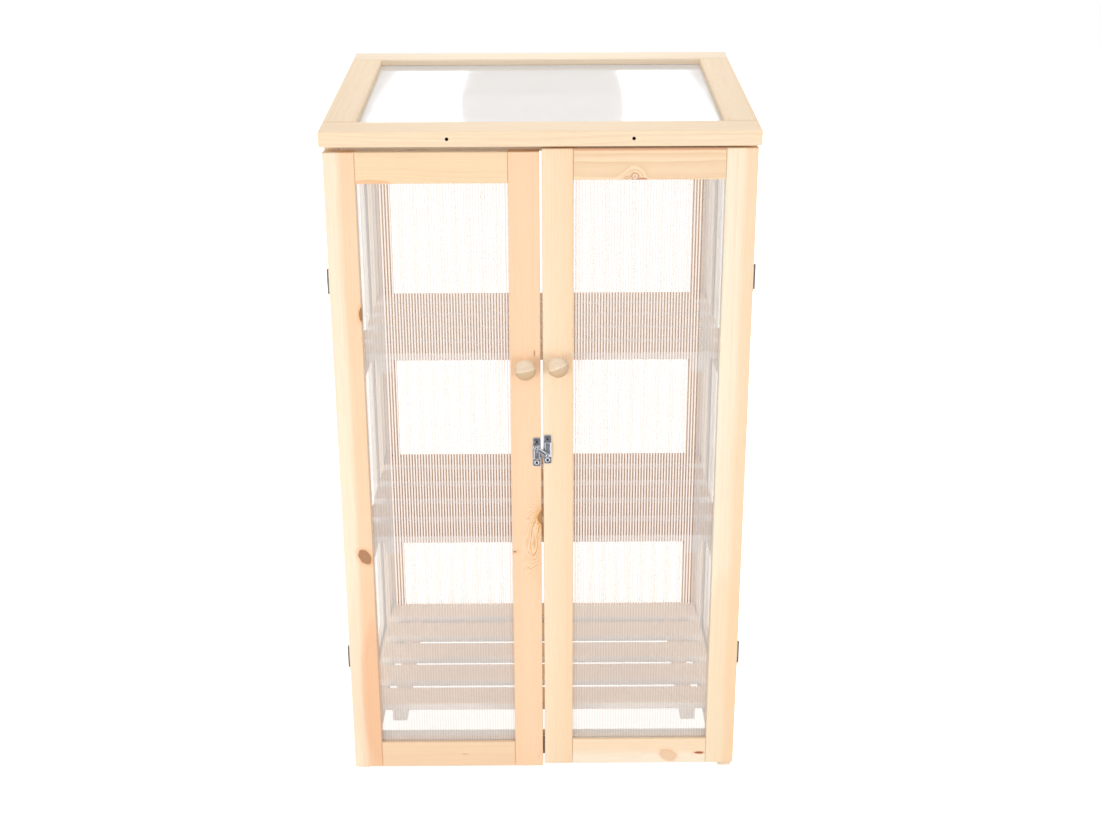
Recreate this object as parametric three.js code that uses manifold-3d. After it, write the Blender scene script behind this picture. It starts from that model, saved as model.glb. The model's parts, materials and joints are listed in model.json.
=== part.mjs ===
// A small wooden greenhouse cabinet: a glazed carcass with three slatted shelves, two glazed doors held
// shut by a hook latch, and a sloping glazed lid hinged along the back. Millimetres, +Z up, +X to the
// right, the doors face -Y. The origin is on the floor, in the middle of the outline.
import * as THREE from "three";
import { mergeVertices } from "three/addons/utils/BufferGeometryUtils.js";
import Module from "manifold-3d";

const wasm = await Module();
wasm.setup();

// Cabinet
const cabinetWidth = 580; // across the closed doors
const cabinetDepth = 430; // from the door faces to the back face
const frontHeight = 963; // of the sloping top, above the door faces
const rearHeight = 1024; // of the sloping top, above the back face

// Timber
const boardWidth = 42;
const boardThickness = 20;
const edgeBevel = 0.9; // planed off every edge of a board's two faces
const jointGap = 0.3; // left where the end of one board meets the side of another
const seatGap = 0.2; // left under what is screwed on or rests on a board
const screwSlack = 0.3; // round a screw and at its end

// Glazing
const sheetThickness = 4;
const sheetSkin = 0.5; // each of the two outer walls of the fluted sheet
const sheetWeb = 0.5; // each wall between two flutes
const flutePitch = 4;
const grooveDepth = 8;
const grooveSlack = 0.3; // on each side of the sheet in its groove
const sheetEdgeSlack = 0.8; // between the sheet's edge and the bottom of its groove

// Doors
const doorGap = 3.3; // between the two doors
const doorSeat = 1; // between a door's back and the carcass
const doorBottom = 18; // above the floor
const doorHeight = 941;
const doorSheetDepth = 6; // of the sheet behind the door's face
const leftDoorDrop = 4; // the left door hangs this much lower
const railBottom = 22; // underside of the carcass's bottom rails above the floor
const frontRailShare = 0.75; // of a board's width, in the height of the front bottom rail
const headRailHeight = 13; // of the rail under the lid's front that the doors close against

// Shelves
const shelfTop = 95; // top of the lowest shelf above the floor
const shelfPitch = 284;
const shelfNames = ["lower", "middle", "upper"];
const shelfFrontSlack = 27.5; // behind the carcass's front
const shelfRearSlack = 16.5; // in front of the back frame
const shelfEndSlack = 3; // between a slat's end and the side frame
const slatCount = 5;
const slatWidth = 50;
const slatThickness = 11.5;
const bearerWidth = 22;
const bearerHeight = 18;
const bearerInset = 32; // from the slats' ends
const bearerHousing = 0.5; // let into the slats
const cleatWidth = 20;
const cleatHeight = 18;

// Lid
const lidFrontOverhang = 6.5; // of the lid's underside past the door faces
const lidBoardWidth = 45;
const lidBoardThickness = 22;
const lidSideOverhang = 3;
const lidBevel = 1.6;
const pilotRadius = 2.3;
const pilotDepth = 12;
const pilotSpacing = 247; // between the two empty holes in the lid's front edge

// Butt hinges
const barrelRadius = 2.6;
const pinRadius = 1.2;
const pinSlack = 0.2;
const leafThickness = 1;
const leafWidth = 14; // from the pin's axis
const knuckleGap = 0.4; // along the pin and round the other leaf's barrel
const hingeScrewRadius = 1.2;
const hingeScrewLength = 12; // below the leaf
const hingeScrewHeadRadius = 2.3;
const hingeScrewHeadHeight = 0.25;
const hingeScrewInset = 5; // from the leaf's free edge
const hingeScrewShare = 0.27; // of the hinge's length, from its middle
const doorHingeLength = 35;
const lowHingeHeight = 198;
const highHingeHeight = 779;
const lidHingeLength = 50;
const lidHingeInset = 95; // from the carcass's side to the middle of the hinge

// Knobs
const knobRadius = 15;
const knobHeight = 24;
const knobAxisHeight = 660;
const knobFootShare = 0.6; // of the knob's radius
const knobNeckShare = 0.5;
const knobNeckHeightShare = 0.2; // of the knob's height
const knobRimHeightShare = 0.56;
const knobBoreDepth = 14;
const knobScrewRadius = 2;
const knobScrewTip = 12; // how far the screw reaches into the knob
const knobScrewHeadRadius = 4;
const knobScrewHeadHeight = 2.4;

// Hook latch
const latchHeight = 534; // middle of the right-hand plate above the floor
const latchPlateWidth = 11.5;
const latchPlateLength = 43.5;
const latchPlateThickness = 1.2;
const latchPlateCorner = 2.7;
const latchPlateInset = 0.3; // from the door's edge
const latchScrewRadius = 1.4;
const latchScrewLength = 14; // below the plate
const latchScrewHeadRadius = 2.6;
const latchScrewHeadHeight = 0.7;
const latchScrewInset = 5.8; // from the plate's end
const latchBossWidth = 8.5;
const latchBossLength = 22;
const latchBossHeight = 1.6;
const latchBossCorner = 1.2;
const noseGap = 0.85; // between the tip of the keeper's nose and the other plate
const noseDrop = 7.7; // the tip below the middle of the plate
const noseRootShare = 0.46; // of the boss's length, above and below its middle
const pivotDrop = 8.5; // below the middle of the right-hand plate
const studRise = 3; // above the middle of the right-hand plate
const studRadius = 1.5;
const studHeadRadius = 2.6;
const studHeadHeight = 0.8;
const rivetRadius = 1.5;
const rivetHeadRadius = 2.8;
const rivetHeadHeight = 1;
const hookThickness = 1.6;
const hookRootRadius = 3.4;
const hookTipRadius = 2.9;
const hookTipPast = 2.4; // the tip's centre past the stud
const hookSlack = 0.4; // round the stud and the rivet

// Segments in a full turn
const barrelSegments = 12;
const holeSegments = 12;
const screwSegments = 8;
const knobSegments = 28;
const arcSegments = 5; // in a quarter turn
const cornerSegments = 5; // in each arc of a flat outline
const cutOverrun = 1; // how far a cut runs past the face that it opens

// What follows from the sizes above
const slope = Math.atan2(rearHeight - frontHeight, cabinetDepth);
const roofAt = (y) => frontHeight + y * Math.tan(slope);
const halfWidth = cabinetWidth / 2;
const carcassFront = boardThickness + doorSeat;
const backFrameFront = cabinetDepth - boardThickness;
const sideInner = halfWidth - boardThickness;
const shelfFront = carcassFront + shelfFrontSlack;
const shelfRear = backFrameFront - shelfRearSlack;
const doorWidth = (cabinetWidth - doorGap) / 2;
const lidLength = (cabinetDepth + lidFrontOverhang) / Math.cos(slope); // along the slope
const axisOffset = seatGap + barrelRadius; // from a board's face to the axis of a hinge on it
const outlineMiddle = (cabinetDepth + axisOffset + barrelRadius - knobHeight - seatGap) / 2;

const X = new THREE.Vector3(1, 0, 0);
const Y = new THREE.Vector3(0, 1, 0);
const Z = new THREE.Vector3(0, 0, 1);
const minus = (v) => v.clone().negate();

// Materials
const finish = (color, roughness, metalness, extra = {}) => () =>
  new THREE.MeshStandardMaterial({ color, roughness, metalness, ...extra });
const pine = finish(0xf6dcb4, 0.62, 0);
const palePine = finish(0xf4e1c2, 0.6, 0);
const knobWood = finish(0xe9cfa6, 0.5, 0);
const flutedSheet = finish(0xf4f5f6, 0.25, 0, { transparent: true, opacity: 0.45 });
const clearSheet = finish(0xf0f2f4, 0.1, 0, { transparent: true, opacity: 0.4 });
const darkSteel = finish(0x4d4f55, 0.42, 1);
const zincSteel = finish(0x9a9da1, 0.35, 1);

// Solids for joining and cutting
function solid(geometry) {
  const bare = geometry.index ? geometry.toNonIndexed() : geometry.clone();
  bare.deleteAttribute("normal");
  bare.deleteAttribute("uv");
  const merged = mergeVertices(bare);
  return new wasm.Manifold(
    new wasm.Mesh({
      numProp: 3,
      vertProperties: merged.attributes.position.array,
      triVerts: new Uint32Array(merged.index.array),
    }),
  );
}

function geometryOf(body) {
  const made = body.getMesh();
  const geometry = new THREE.BufferGeometry();
  geometry.setAttribute("position", new THREE.BufferAttribute(made.vertProperties, 3));
  geometry.setIndex(new THREE.BufferAttribute(made.triVerts, 1));
  geometry.computeVertexNormals();
  return geometry;
}

const joined = (bodies) => bodies.reduce((whole, body) => whole.add(body));
const cut = (body, tools) => tools.reduce((left, tool) => left.subtract(tool), body);

// Shapes: a prism stands on the XY plane of its outline and runs along +Z
const polygon = (points) => new THREE.Shape(points.map(([x, y]) => new THREE.Vector2(x, y)));

function prism(outline, from, to, bevel = 0) {
  const geometry = new THREE.ExtrudeGeometry(outline, {
    depth: to - from - 2 * bevel,
    bevelEnabled: bevel > 0,
    bevelThickness: bevel,
    bevelSize: bevel,
    bevelOffset: -bevel,
    bevelSegments: 1,
    curveSegments: cornerSegments,
  });
  return solid(geometry.translate(0, 0, from + bevel));
}

const rectangle = (x0, x1, y0, y1) => [[x0, y0], [x1, y0], [x1, y1], [x0, y1]];
const block = (x0, x1, y0, y1, z0, z1) => prism(polygon(rectangle(x0, x1, y0, y1)), z0, z1);

function roundedRectangle(width, length, corner) {
  const [x, y] = [width / 2 - corner, length / 2 - corner];
  const outline = new THREE.Shape();
  outline.absarc(x, y, corner, 0, Math.PI / 2);
  outline.absarc(-x, y, corner, Math.PI / 2, Math.PI);
  outline.absarc(-x, -y, corner, Math.PI, 1.5 * Math.PI);
  outline.absarc(x, -y, corner, 1.5 * Math.PI, 2 * Math.PI);
  return outline;
}

// A round bar along +Z, centred on x and y
function bar(radius, from, to, segments, x = 0, y = 0) {
  const geometry = new THREE.CylinderGeometry(radius, radius, to - from, segments);
  return solid(geometry.rotateX(Math.PI / 2).translate(x, y, (from + to) / 2));
}

function mesh(name, body, material) {
  const made = new THREE.Mesh(geometryOf(body), material());
  made.name = name;
  return made;
}

// Turns an object so that its X axis points along across and its Y axis along up, and sets it in place
function place(object, across, up, x, y, z) {
  const basis = new THREE.Matrix4().makeBasis(across, up, across.clone().cross(up));
  object.quaternion.setFromRotationMatrix(basis);
  object.position.set(x, y, z);
  return object;
}

// Drills the holes for a fitting's screws, given as bars in the fitting's axes, into the board under it
function drill(board, fitting, bars) {
  for (const object of [board, fitting]) object.updateWorldMatrix(true, false);
  const toBoard = board.matrixWorld.clone().invert().multiply(fitting.matrixWorld);
  const holes = bars.map((hole) => hole.transform(toBoard.elements));
  board.geometry = geometryOf(cut(solid(board.geometry), holes));
}

// The flutes of a sheet that lies between two X positions: bars along Y, to be cut out of the plain sheet
function flutes(x0, x1, from, to, middle) {
  const count = Math.floor((x1 - x0 - sheetWeb) / flutePitch);
  const start = (x0 + x1 - count * flutePitch + sheetWeb) / 2;
  const wall = sheetThickness / 2 - sheetSkin;
  const outlines = Array.from({ length: count }, (_, i) => {
    const left = start + i * flutePitch;
    return polygon(rectangle(left, left + flutePitch - sheetWeb, -wall, wall));
  });
  const geometry = new THREE.ExtrudeGeometry(outlines, { depth: to - from, bevelEnabled: false });
  return solid(geometry.translate(0, 0, from).rotateX(-Math.PI / 2).translate(0, 0, middle));
}

// A glazed frame in its own plane: X across, Y up, its boards from z = 0 to their thickness.
// Two stiles run the full height and two rails lie between them. The sheet sits in a groove all round, with
// its middle at the given distance from the frame's back.
function glazedFrame({
  width, topAt, railFoot, board, thickness, bevel, names, wood, trims, cuts, fluted, middle,
}) {
  const inner = [board, width - board];
  const reach = grooveDepth - sheetEdgeSlack;
  const outline = (x0, x1, low, high) =>
    polygon([[x0, low(x0)], [x1, low(x1)], [x1, high(x1)], [x0, high(x0)]]);
  const opened = (spread) =>
    outline(inner[0] - spread, inner[1] + spread, level(opening - spread), below(board - spread));
  const level = (height) => () => height;
  const below = (drop) => (x) => topAt(x) - drop;
  const railEnds = [inner[0] + jointGap, inner[1] - jointGap];
  const opening = railFoot + board;
  const halfGroove = sheetThickness / 2 + grooveSlack;
  const groove = prism(opened(grooveDepth), middle - halfGroove, middle + halfGroove);
  const outlines = {
    low: outline(0, inner[0], level(0), topAt),
    high: outline(inner[1], width, level(0), topAt),
    bottom: outline(...railEnds, level(railFoot), level(opening)),
    top: outline(...railEnds, below(board), topAt),
  };
  const frame = new THREE.Group();
  for (const [key, shape] of Object.entries(outlines)) {
    const body = prism(shape, 0, thickness, bevel);
    frame.add(mesh(names[key], cut(body, [groove, ...(trims ?? []), ...(cuts?.[key] ?? [])]), wood));
  }
  const plain = prism(opened(reach), middle - sheetThickness / 2, middle + sheetThickness / 2);
  const ends = [inner[0] - reach, inner[1] + reach];
  const low = opening - reach - cutOverrun;
  const high = Math.max(...ends.map(below(board - reach))) + cutOverrun;
  const sheet = fluted ? cut(plain, [flutes(...ends, low, high, middle)]) : plain;
  frame.add(mesh(names.sheet, sheet, fluted ? flutedSheet : clearSheet));
  return frame;
}

// Side frames, whose top rails follow the slope of the lid
function sideFrame(side, sign) {
  const frame = glazedFrame({
    width: backFrameFront - jointGap - carcassFront,
    topAt: (x) => roofAt(carcassFront + x),
    railFoot: railBottom,
    board: boardWidth,
    thickness: boardThickness,
    bevel: edgeBevel,
    names: {
      low: side + "_front_post",
      high: side + "_rear_post",
      bottom: side + "_bottom_rail",
      top: side + "_top_rail",
      sheet: side + "_side_sheet",
    },
    wood: pine,
    fluted: true,
    middle: boardThickness / 2,
  });
  return place(frame, Y, Z, sign < 0 ? -halfWidth : sideInner, carcassFront, 0);
}

// The back frame, its top planed to the slope
function backFrame() {
  const planed = polygon([
    [backFrameFront - cutOverrun, roofAt(backFrameFront - cutOverrun)],
    [cabinetDepth + cutOverrun, roofAt(cabinetDepth + cutOverrun)],
    [cabinetDepth + cutOverrun, rearHeight + boardWidth],
    [backFrameFront - cutOverrun, rearHeight + boardWidth],
  ]);
  // In the frame's own axes: z runs forward from the back face, so the planed outline is laid on its side
  const above = prism(planed, -cutOverrun, cabinetWidth + cutOverrun).transform([
    0, 0, -1, 0,
    0, 1, 0, 0,
    1, 0, 0, 0,
    0, 0, cabinetDepth, 1,
  ]);
  const frame = glazedFrame({
    width: cabinetWidth,
    topAt: () => rearHeight,
    railFoot: railBottom,
    board: boardWidth,
    thickness: boardThickness,
    bevel: edgeBevel,
    names: {
      low: "back_left_stile",
      high: "back_right_stile",
      bottom: "back_bottom_rail",
      top: "back_top_rail",
      sheet: "back_sheet",
    },
    wood: pine,
    trims: [above],
    fluted: true,
    middle: boardThickness / 2,
  });
  return place(frame, X, Z, -halfWidth, cabinetDepth, 0);
}

// The rails that tie the side frames together: below the doors' panels and under the lid's front
function frontRails() {
  const end = sideInner - jointGap;
  const top = Math.min(roofAt(carcassFront), roofAt(carcassFront + boardThickness));
  const group = new THREE.Group();
  for (const [name, low, high] of [
    ["front_bottom_rail", railBottom, railBottom + frontRailShare * boardWidth],
    ["front_top_rail", top - headRailHeight, top],
  ]) {
    const body = prism(polygon(rectangle(-end, end, low, high)), 0, boardThickness, edgeBevel);
    group.add(place(mesh(name, body, pine), X, Z, 0, carcassFront + boardThickness, 0));
  }
  return group;
}

// Shelves: slats across the cabinet on two bearers that run from front to back
function shelf(name, top) {
  const halfLength = sideInner - shelfEndSlack;
  const pitch = (shelfRear - shelfFront - slatWidth) / (slatCount - 1);
  const slats = Array.from({ length: slatCount }, (_, i) => {
    const front = shelfFront + i * pitch;
    const face = polygon(rectangle(-halfLength, halfLength, front, front + slatWidth));
    return prism(face, -slatThickness, 0, edgeBevel);
  });
  const outer = halfLength - bearerInset;
  const foot = -slatThickness - bearerHeight;
  const bearers = [-outer, outer - bearerWidth].map((x) =>
    block(x, x + bearerWidth, shelfFront, shelfRear, foot, bearerHousing - slatThickness),
  );
  return place(mesh(name, joined([...slats, ...bearers]), palePine), X, Y, 0, 0, top);
}

// Cleats on the side frames, which the slats' ends rest on
function cleat(name, sign, top) {
  const face = polygon(rectangle(0, backFrameFront - jointGap - carcassFront, -cleatHeight, 0));
  const body = prism(face, 0, cleatWidth, edgeBevel);
  const inner = sideInner - seatGap;
  return place(mesh(name, body, palePine), Y, Z, sign < 0 ? -inner : inner - cleatWidth, carcassFront, top);
}

// One leaf of a butt hinge. The pin's axis is Z, the leaf runs along +X, its screwed face looks along -Y.
// The fixed leaf carries the two outer knuckles and the pin, and the moving leaf the middle knuckle.
function hingeLeaf(name, length, fixed) {
  const third = length / 3;
  const spans = fixed
    ? [[-length / 2, -third / 2 - knuckleGap / 2], [third / 2 + knuckleGap / 2, length / 2]]
    : [[-third / 2 + knuckleGap / 2, third / 2 - knuckleGap / 2]];
  const face = leafThickness - barrelRadius;
  const plate = block(barrelRadius + knuckleGap, leafWidth, -barrelRadius, face, -length / 2, length / 2);
  const knuckles = spans.flatMap(([from, to]) => [
    bar(barrelRadius, from, to, barrelSegments),
    block(0, barrelRadius + 2 * knuckleGap, -barrelRadius, face, from, to),
  ]);
  const pin = bar(pinRadius, -length / 2, length / 2, barrelSegments);
  const bore = bar(pinRadius + pinSlack, -length, length, barrelSegments);
  const screws = [
    ...leafScrews(length, hingeScrewRadius, -face, barrelRadius + hingeScrewLength),
    ...leafScrews(length, hingeScrewHeadRadius, -face - hingeScrewHeadHeight, -face),
  ];
  const leaf = joined([plate, ...knuckles, ...screws]);
  return mesh(name, fixed ? leaf.add(pin) : leaf.subtract(bore), darkSteel);
}

// Two bars at the places of a leaf's screws, between two depths below the pin's axis
function leafScrews(length, radius, from, to) {
  return [-1, 1].map((end) =>
    bar(radius, from, to, screwSegments)
      .rotate([90, 0, 0])
      .translate([leafWidth - hingeScrewInset, 0, end * hingeScrewShare * length]),
  );
}

const leafPilots = (length) =>
  leafScrews(length, hingeScrewRadius + screwSlack, 0, barrelRadius + hingeScrewLength + screwSlack);

// A turned knob: its foot on the XY plane, its dome along +Z, a screw bore in its foot
function knob(name) {
  const neck = knobNeckHeightShare * knobHeight;
  const rim = knobRimHeightShare * knobHeight;
  const quarter = Array.from({ length: arcSegments + 1 }, (_, i) => (i / arcSegments) * (Math.PI / 2));
  const flare = quarter.map((a) => [
    knobRadius * (knobNeckShare + (1 - knobNeckShare) * (1 - Math.cos(a))),
    neck + (rim - neck) * Math.sin(a),
  ]);
  const dome = quarter.slice(1).map((a) => [
    knobRadius * Math.cos(a),
    rim + (knobHeight - rim) * Math.sin(a),
  ]);
  const profile = [[0, 0], [knobFootShare * knobRadius, 0], ...flare, ...dome.slice(0, -1), [0, knobHeight]];
  const turned = new THREE.LatheGeometry(profile.map(([r, h]) => new THREE.Vector2(r, h)), knobSegments);
  const bore = bar(knobScrewRadius + screwSlack, -cutOverrun, knobBoreDepth, holeSegments);
  return mesh(name, cut(solid(turned.rotateX(Math.PI / 2)), [bore]), knobWood);
}

// The screw that holds a knob: its head inside the cabinet, its shank through the stile along +Z
function knobScrew(name) {
  const reach = seatGap + boardThickness + seatGap + knobScrewTip;
  const head = bar(knobScrewHeadRadius, -knobScrewHeadHeight, 0, barrelSegments);
  return mesh(name, joined([head, bar(knobScrewRadius, -seatGap, reach, barrelSegments)]), zincSteel);
}

// A door: glazed frame, knob and knob screw. sign is -1 for the left door and 1 for the right one.
function door(side, sign) {
  const knobX = boardWidth / 2;
  const knobInDoor = sign < 0 ? doorWidth - knobX : knobX;
  const drop = sign < 0 ? leftDoorDrop : 0;
  const screwHole = bar(
    knobScrewRadius + screwSlack, -cutOverrun, boardThickness + cutOverrun, holeSegments,
    knobInDoor, knobAxisHeight - doorBottom,
  );
  const frame = glazedFrame({
    width: doorWidth,
    topAt: () => doorHeight,
    railFoot: 0,
    board: boardWidth,
    thickness: boardThickness,
    bevel: edgeBevel,
    names: {
      low: side + (sign < 0 ? "_door_hinge_stile" : "_door_meeting_stile"),
      high: side + (sign < 0 ? "_door_meeting_stile" : "_door_hinge_stile"),
      bottom: side + "_door_bottom_rail",
      top: side + "_door_top_rail",
      sheet: side + "_door_sheet",
    },
    wood: pine,
    cuts: { [sign < 0 ? "high" : "low"]: [screwHole] },
    fluted: true,
    middle: boardThickness - doorSheetDepth - sheetThickness / 2,
  });
  const knobAxis = sign * (doorGap / 2 + knobX);
  const group = new THREE.Group();
  group.add(
    place(frame, X, Z, sign < 0 ? -halfWidth : doorGap / 2, boardThickness, doorBottom),
    place(knob(side + "_knob"), X, Z, knobAxis, -seatGap, knobAxisHeight),
    place(knobScrew(side + "_knob_screw"), X, Z, knobAxis, boardThickness + seatGap, knobAxisHeight),
  );
  group.position.z = -drop;
  return group;
}

// The hinges of one door: leaves on the door's edge and on the carcass's side
function doorHinges(side, sign) {
  const outward = X.clone().multiplyScalar(sign);
  const x = sign * (halfWidth + axisOffset);
  const y = boardThickness + doorSeat / 2;
  const drop = sign < 0 ? leftDoorDrop : 0;
  const group = new THREE.Group();
  for (const [level, height] of [["lower", lowHingeHeight], ["upper", highHingeHeight]]) {
    const name = side + "_" + level + "_hinge_";
    group.add(
      place(hingeLeaf(name + "fixed_leaf", doorHingeLength, true), Y, outward, x, y, height - drop),
      place(hingeLeaf(name + "door_leaf", doorHingeLength, false), minus(Y), outward, x, y, height - drop),
    );
  }
  return group;
}

// The axis of the lid's hinges, behind the back face at the seam under the lid
const lidAxisY = cabinetDepth + axisOffset;
const lidAxisZ = rearHeight + (seatGap / 2 + axisOffset * Math.sin(slope)) / Math.cos(slope);

// The lid in its own axes: origin on the hinge axis, Y up the slope to the rear, Z square to the lid
function lid() {
  const width = cabinetWidth + 2 * lidSideOverhang;
  const pilots = [-1, 1].map((end) =>
    bar(pilotRadius, -pilotDepth, cutOverrun, holeSegments)
      .rotate([0, -90, 0])
      .translate([0, width / 2 + (end * pilotSpacing) / 2, lidBoardThickness / 2]),
  );
  const frame = glazedFrame({
    width: lidLength,
    topAt: () => width,
    railFoot: 0,
    board: lidBoardWidth,
    thickness: lidBoardThickness,
    bevel: lidBevel,
    names: {
      low: "lid_front_rail",
      high: "lid_rear_rail",
      bottom: "lid_right_rail",
      top: "lid_left_rail",
      sheet: "lid_sheet",
    },
    wood: palePine,
    cuts: { low: pilots },
    fluted: false,
    middle: lidBoardThickness / 2,
  });
  const group = new THREE.Group();
  group.add(place(frame, Y, minus(X), width / 2, -axisOffset - lidLength, seatGap / 2));
  for (const [side, sign] of [["left", -1], ["right", 1]]) {
    const leaf = hingeLeaf("lid_" + side + "_hinge_lid_leaf", lidHingeLength, false);
    group.add(place(leaf, Z, Y, sign * (halfWidth - lidHingeInset), 0, 0));
  }
  group.position.set(0, lidAxisY, lidAxisZ);
  group.rotation.x = slope;
  return group;
}

function lidFixedLeaves() {
  const group = new THREE.Group();
  for (const [side, sign] of [["left", -1], ["right", 1]]) {
    const leaf = hingeLeaf("lid_" + side + "_hinge_fixed_leaf", lidHingeLength, true);
    group.add(place(leaf, minus(Z), Y, sign * (halfWidth - lidHingeInset), lidAxisY, lidAxisZ));
  }
  return group;
}

// The latch plates, seen from the front: X to the right, Y up, Z towards the viewer
const latchPlateX = doorGap / 2 + latchPlateInset + latchPlateWidth / 2;
const bossFace = latchPlateThickness + latchBossHeight;
const hookBack = bossFace + seatGap;
const rivetBack = hookBack + hookThickness + seatGap;

const latchScrewPlaces = [-1, 1].map((end) => end * (latchPlateLength / 2 - latchScrewInset));
const latchBars = (radius, from, to) =>
  latchScrewPlaces.map((y) => bar(radius, from, to, screwSegments, 0, y));
const latchPilots = () => latchBars(latchScrewRadius + screwSlack, -latchScrewLength - screwSlack, 0);

function latchPlate(name, extras) {
  const outline = roundedRectangle(latchPlateWidth, latchPlateLength, latchPlateCorner);
  const plate = prism(outline, 0, latchPlateThickness);
  const boss = prism(roundedRectangle(latchBossWidth, latchBossLength, latchBossCorner), 0, bossFace);
  const screws = [
    ...latchBars(latchScrewRadius, -latchScrewLength, latchPlateThickness),
    ...latchBars(latchScrewHeadRadius, latchPlateThickness, latchPlateThickness + latchScrewHeadHeight),
  ];
  return mesh(name, joined([plate, boss, ...screws, ...extras]), zincSteel);
}

// The hook: pivots at its origin, its arm along +X, a slot in its +Y side that drops over the stud
function hook(reach) {
  const tipX = reach + hookTipPast;
  const lean = Math.asin((hookRootRadius - hookTipRadius) / tipX);
  const outline = new THREE.Shape();
  outline.absarc(0, 0, hookRootRadius, Math.PI / 2 - lean, 1.5 * Math.PI + lean);
  outline.absarc(tipX, 0, hookTipRadius, lean - Math.PI / 2, Math.PI / 2 - lean);
  const slotHalf = studRadius + hookSlack;
  const slot = block(
    reach - slotHalf, reach + slotHalf, 0, hookRootRadius + cutOverrun,
    -cutOverrun, hookThickness + cutOverrun,
  );
  const slotEnd = bar(slotHalf, -cutOverrun, hookThickness + cutOverrun, barrelSegments, reach, 0);
  const eye = bar(rivetRadius + hookSlack / 2, -cutOverrun, hookThickness + cutOverrun, barrelSegments);
  return mesh("latch_hook", cut(prism(outline, 0, hookThickness), [slot, slotEnd, eye]), zincSteel);
}

function latch() {
  const pivot = new THREE.Vector2(latchPlateX, latchHeight - pivotDrop);
  const stud = new THREE.Vector2(-latchPlateX, latchHeight + studRise);
  const arm = stud.clone().sub(pivot);
  const angle = arm.angle();
  const noseReach = 2 * latchPlateX - latchPlateWidth / 2 - noseGap;
  const noseRoot = noseRootShare * latchBossLength;
  const noseOutline = polygon([[0, -noseRoot], [noseReach, -noseDrop], [0, noseRoot]]);
  const nose = prism(noseOutline, latchPlateThickness, bossFace);
  const keeperStud = [
    bar(studRadius, 0, rivetBack, barrelSegments, 0, studRise + leftDoorDrop),
    bar(studHeadRadius, rivetBack, rivetBack + studHeadHeight, barrelSegments, 0, studRise + leftDoorDrop),
  ];
  const pivotRivet = [
    bar(rivetRadius, 0, rivetBack, barrelSegments, 0, -pivotDrop),
    bar(rivetHeadRadius, rivetBack, rivetBack + rivetHeadHeight, barrelSegments, 0, -pivotDrop),
  ];
  const keeper = latchPlate("latch_keeper_plate", [nose, ...keeperStud]);
  const holder = latchPlate("latch_pivot_plate", pivotRivet);
  const along = new THREE.Vector3(Math.cos(angle), 0, Math.sin(angle));
  const aside = new THREE.Vector3(-Math.sin(angle), 0, Math.cos(angle));
  const group = new THREE.Group();
  group.add(
    place(keeper, X, Z, -latchPlateX, -seatGap, latchHeight - leftDoorDrop),
    place(holder, X, Z, latchPlateX, -seatGap, latchHeight),
    place(hook(arm.length()), along, aside, pivot.x, -seatGap - hookBack, pivot.y),
  );
  return group;
}

// Assembly
const greenhouse = new THREE.Group();
for (const [side, sign] of [["left", -1], ["right", 1]]) {
  greenhouse.add(sideFrame(side, sign), door(side, sign), doorHinges(side, sign));
  shelfNames.forEach((level, i) => {
    const top = shelfTop + i * shelfPitch - slatThickness - seatGap;
    greenhouse.add(cleat(side + "_" + level + "_cleat", sign, top));
  });
}
shelfNames.forEach((level, i) => greenhouse.add(shelf(level + "_shelf", shelfTop + i * shelfPitch)));
greenhouse.add(backFrame(), frontRails(), lid(), lidFixedLeaves(), latch());
for (const piece of greenhouse.children) piece.position.y -= outlineMiddle;

// Screw holes
const named = (name) => greenhouse.getObjectByName(name);
for (const side of ["left", "right"]) {
  for (const level of ["lower", "upper"]) {
    const hinge = side + "_" + level + "_hinge_";
    drill(named(side + "_front_post"), named(hinge + "fixed_leaf"), leafPilots(doorHingeLength));
    drill(named(side + "_door_hinge_stile"), named(hinge + "door_leaf"), leafPilots(doorHingeLength));
  }
  const lidHinge = "lid_" + side + "_hinge_";
  drill(named("back_top_rail"), named(lidHinge + "fixed_leaf"), leafPilots(lidHingeLength));
  drill(named("lid_rear_rail"), named(lidHinge + "lid_leaf"), leafPilots(lidHingeLength));
}
drill(named("left_door_meeting_stile"), named("latch_keeper_plate"), latchPilots());
drill(named("right_door_meeting_stile"), named("latch_pivot_plate"), latchPilots());

export default greenhouse;
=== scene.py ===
# Looks of a small wooden greenhouse cabinet: softwood boards, fluted and clear plastic sheets, turned knobs,
# steel hinges and a zinc hook latch. Metres, +Z up, +X to the right, the doors face -Y.
import json
import math
import random
import zlib

import bmesh
import bpy
from mathutils import Euler, Matrix, Vector


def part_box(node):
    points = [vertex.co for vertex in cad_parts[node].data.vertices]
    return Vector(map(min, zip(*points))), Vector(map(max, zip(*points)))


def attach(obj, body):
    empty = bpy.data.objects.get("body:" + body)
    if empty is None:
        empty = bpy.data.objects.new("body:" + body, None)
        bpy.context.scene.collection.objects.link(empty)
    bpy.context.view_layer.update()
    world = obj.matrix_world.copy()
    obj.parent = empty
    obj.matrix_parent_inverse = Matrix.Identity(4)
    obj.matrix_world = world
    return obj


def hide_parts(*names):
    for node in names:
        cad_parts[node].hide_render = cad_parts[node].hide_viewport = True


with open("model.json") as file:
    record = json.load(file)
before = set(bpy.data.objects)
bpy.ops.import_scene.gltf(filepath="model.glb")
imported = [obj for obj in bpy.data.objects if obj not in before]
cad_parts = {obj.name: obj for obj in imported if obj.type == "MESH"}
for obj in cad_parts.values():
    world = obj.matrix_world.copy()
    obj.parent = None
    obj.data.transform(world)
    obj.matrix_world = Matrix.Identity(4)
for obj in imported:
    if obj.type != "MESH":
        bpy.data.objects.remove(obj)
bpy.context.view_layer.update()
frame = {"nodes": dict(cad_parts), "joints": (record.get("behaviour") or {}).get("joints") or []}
cad = frame["nodes"]
joints = {joint["name"]: Vector(joint["pos_m"]) for joint in frame["joints"]}
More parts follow.
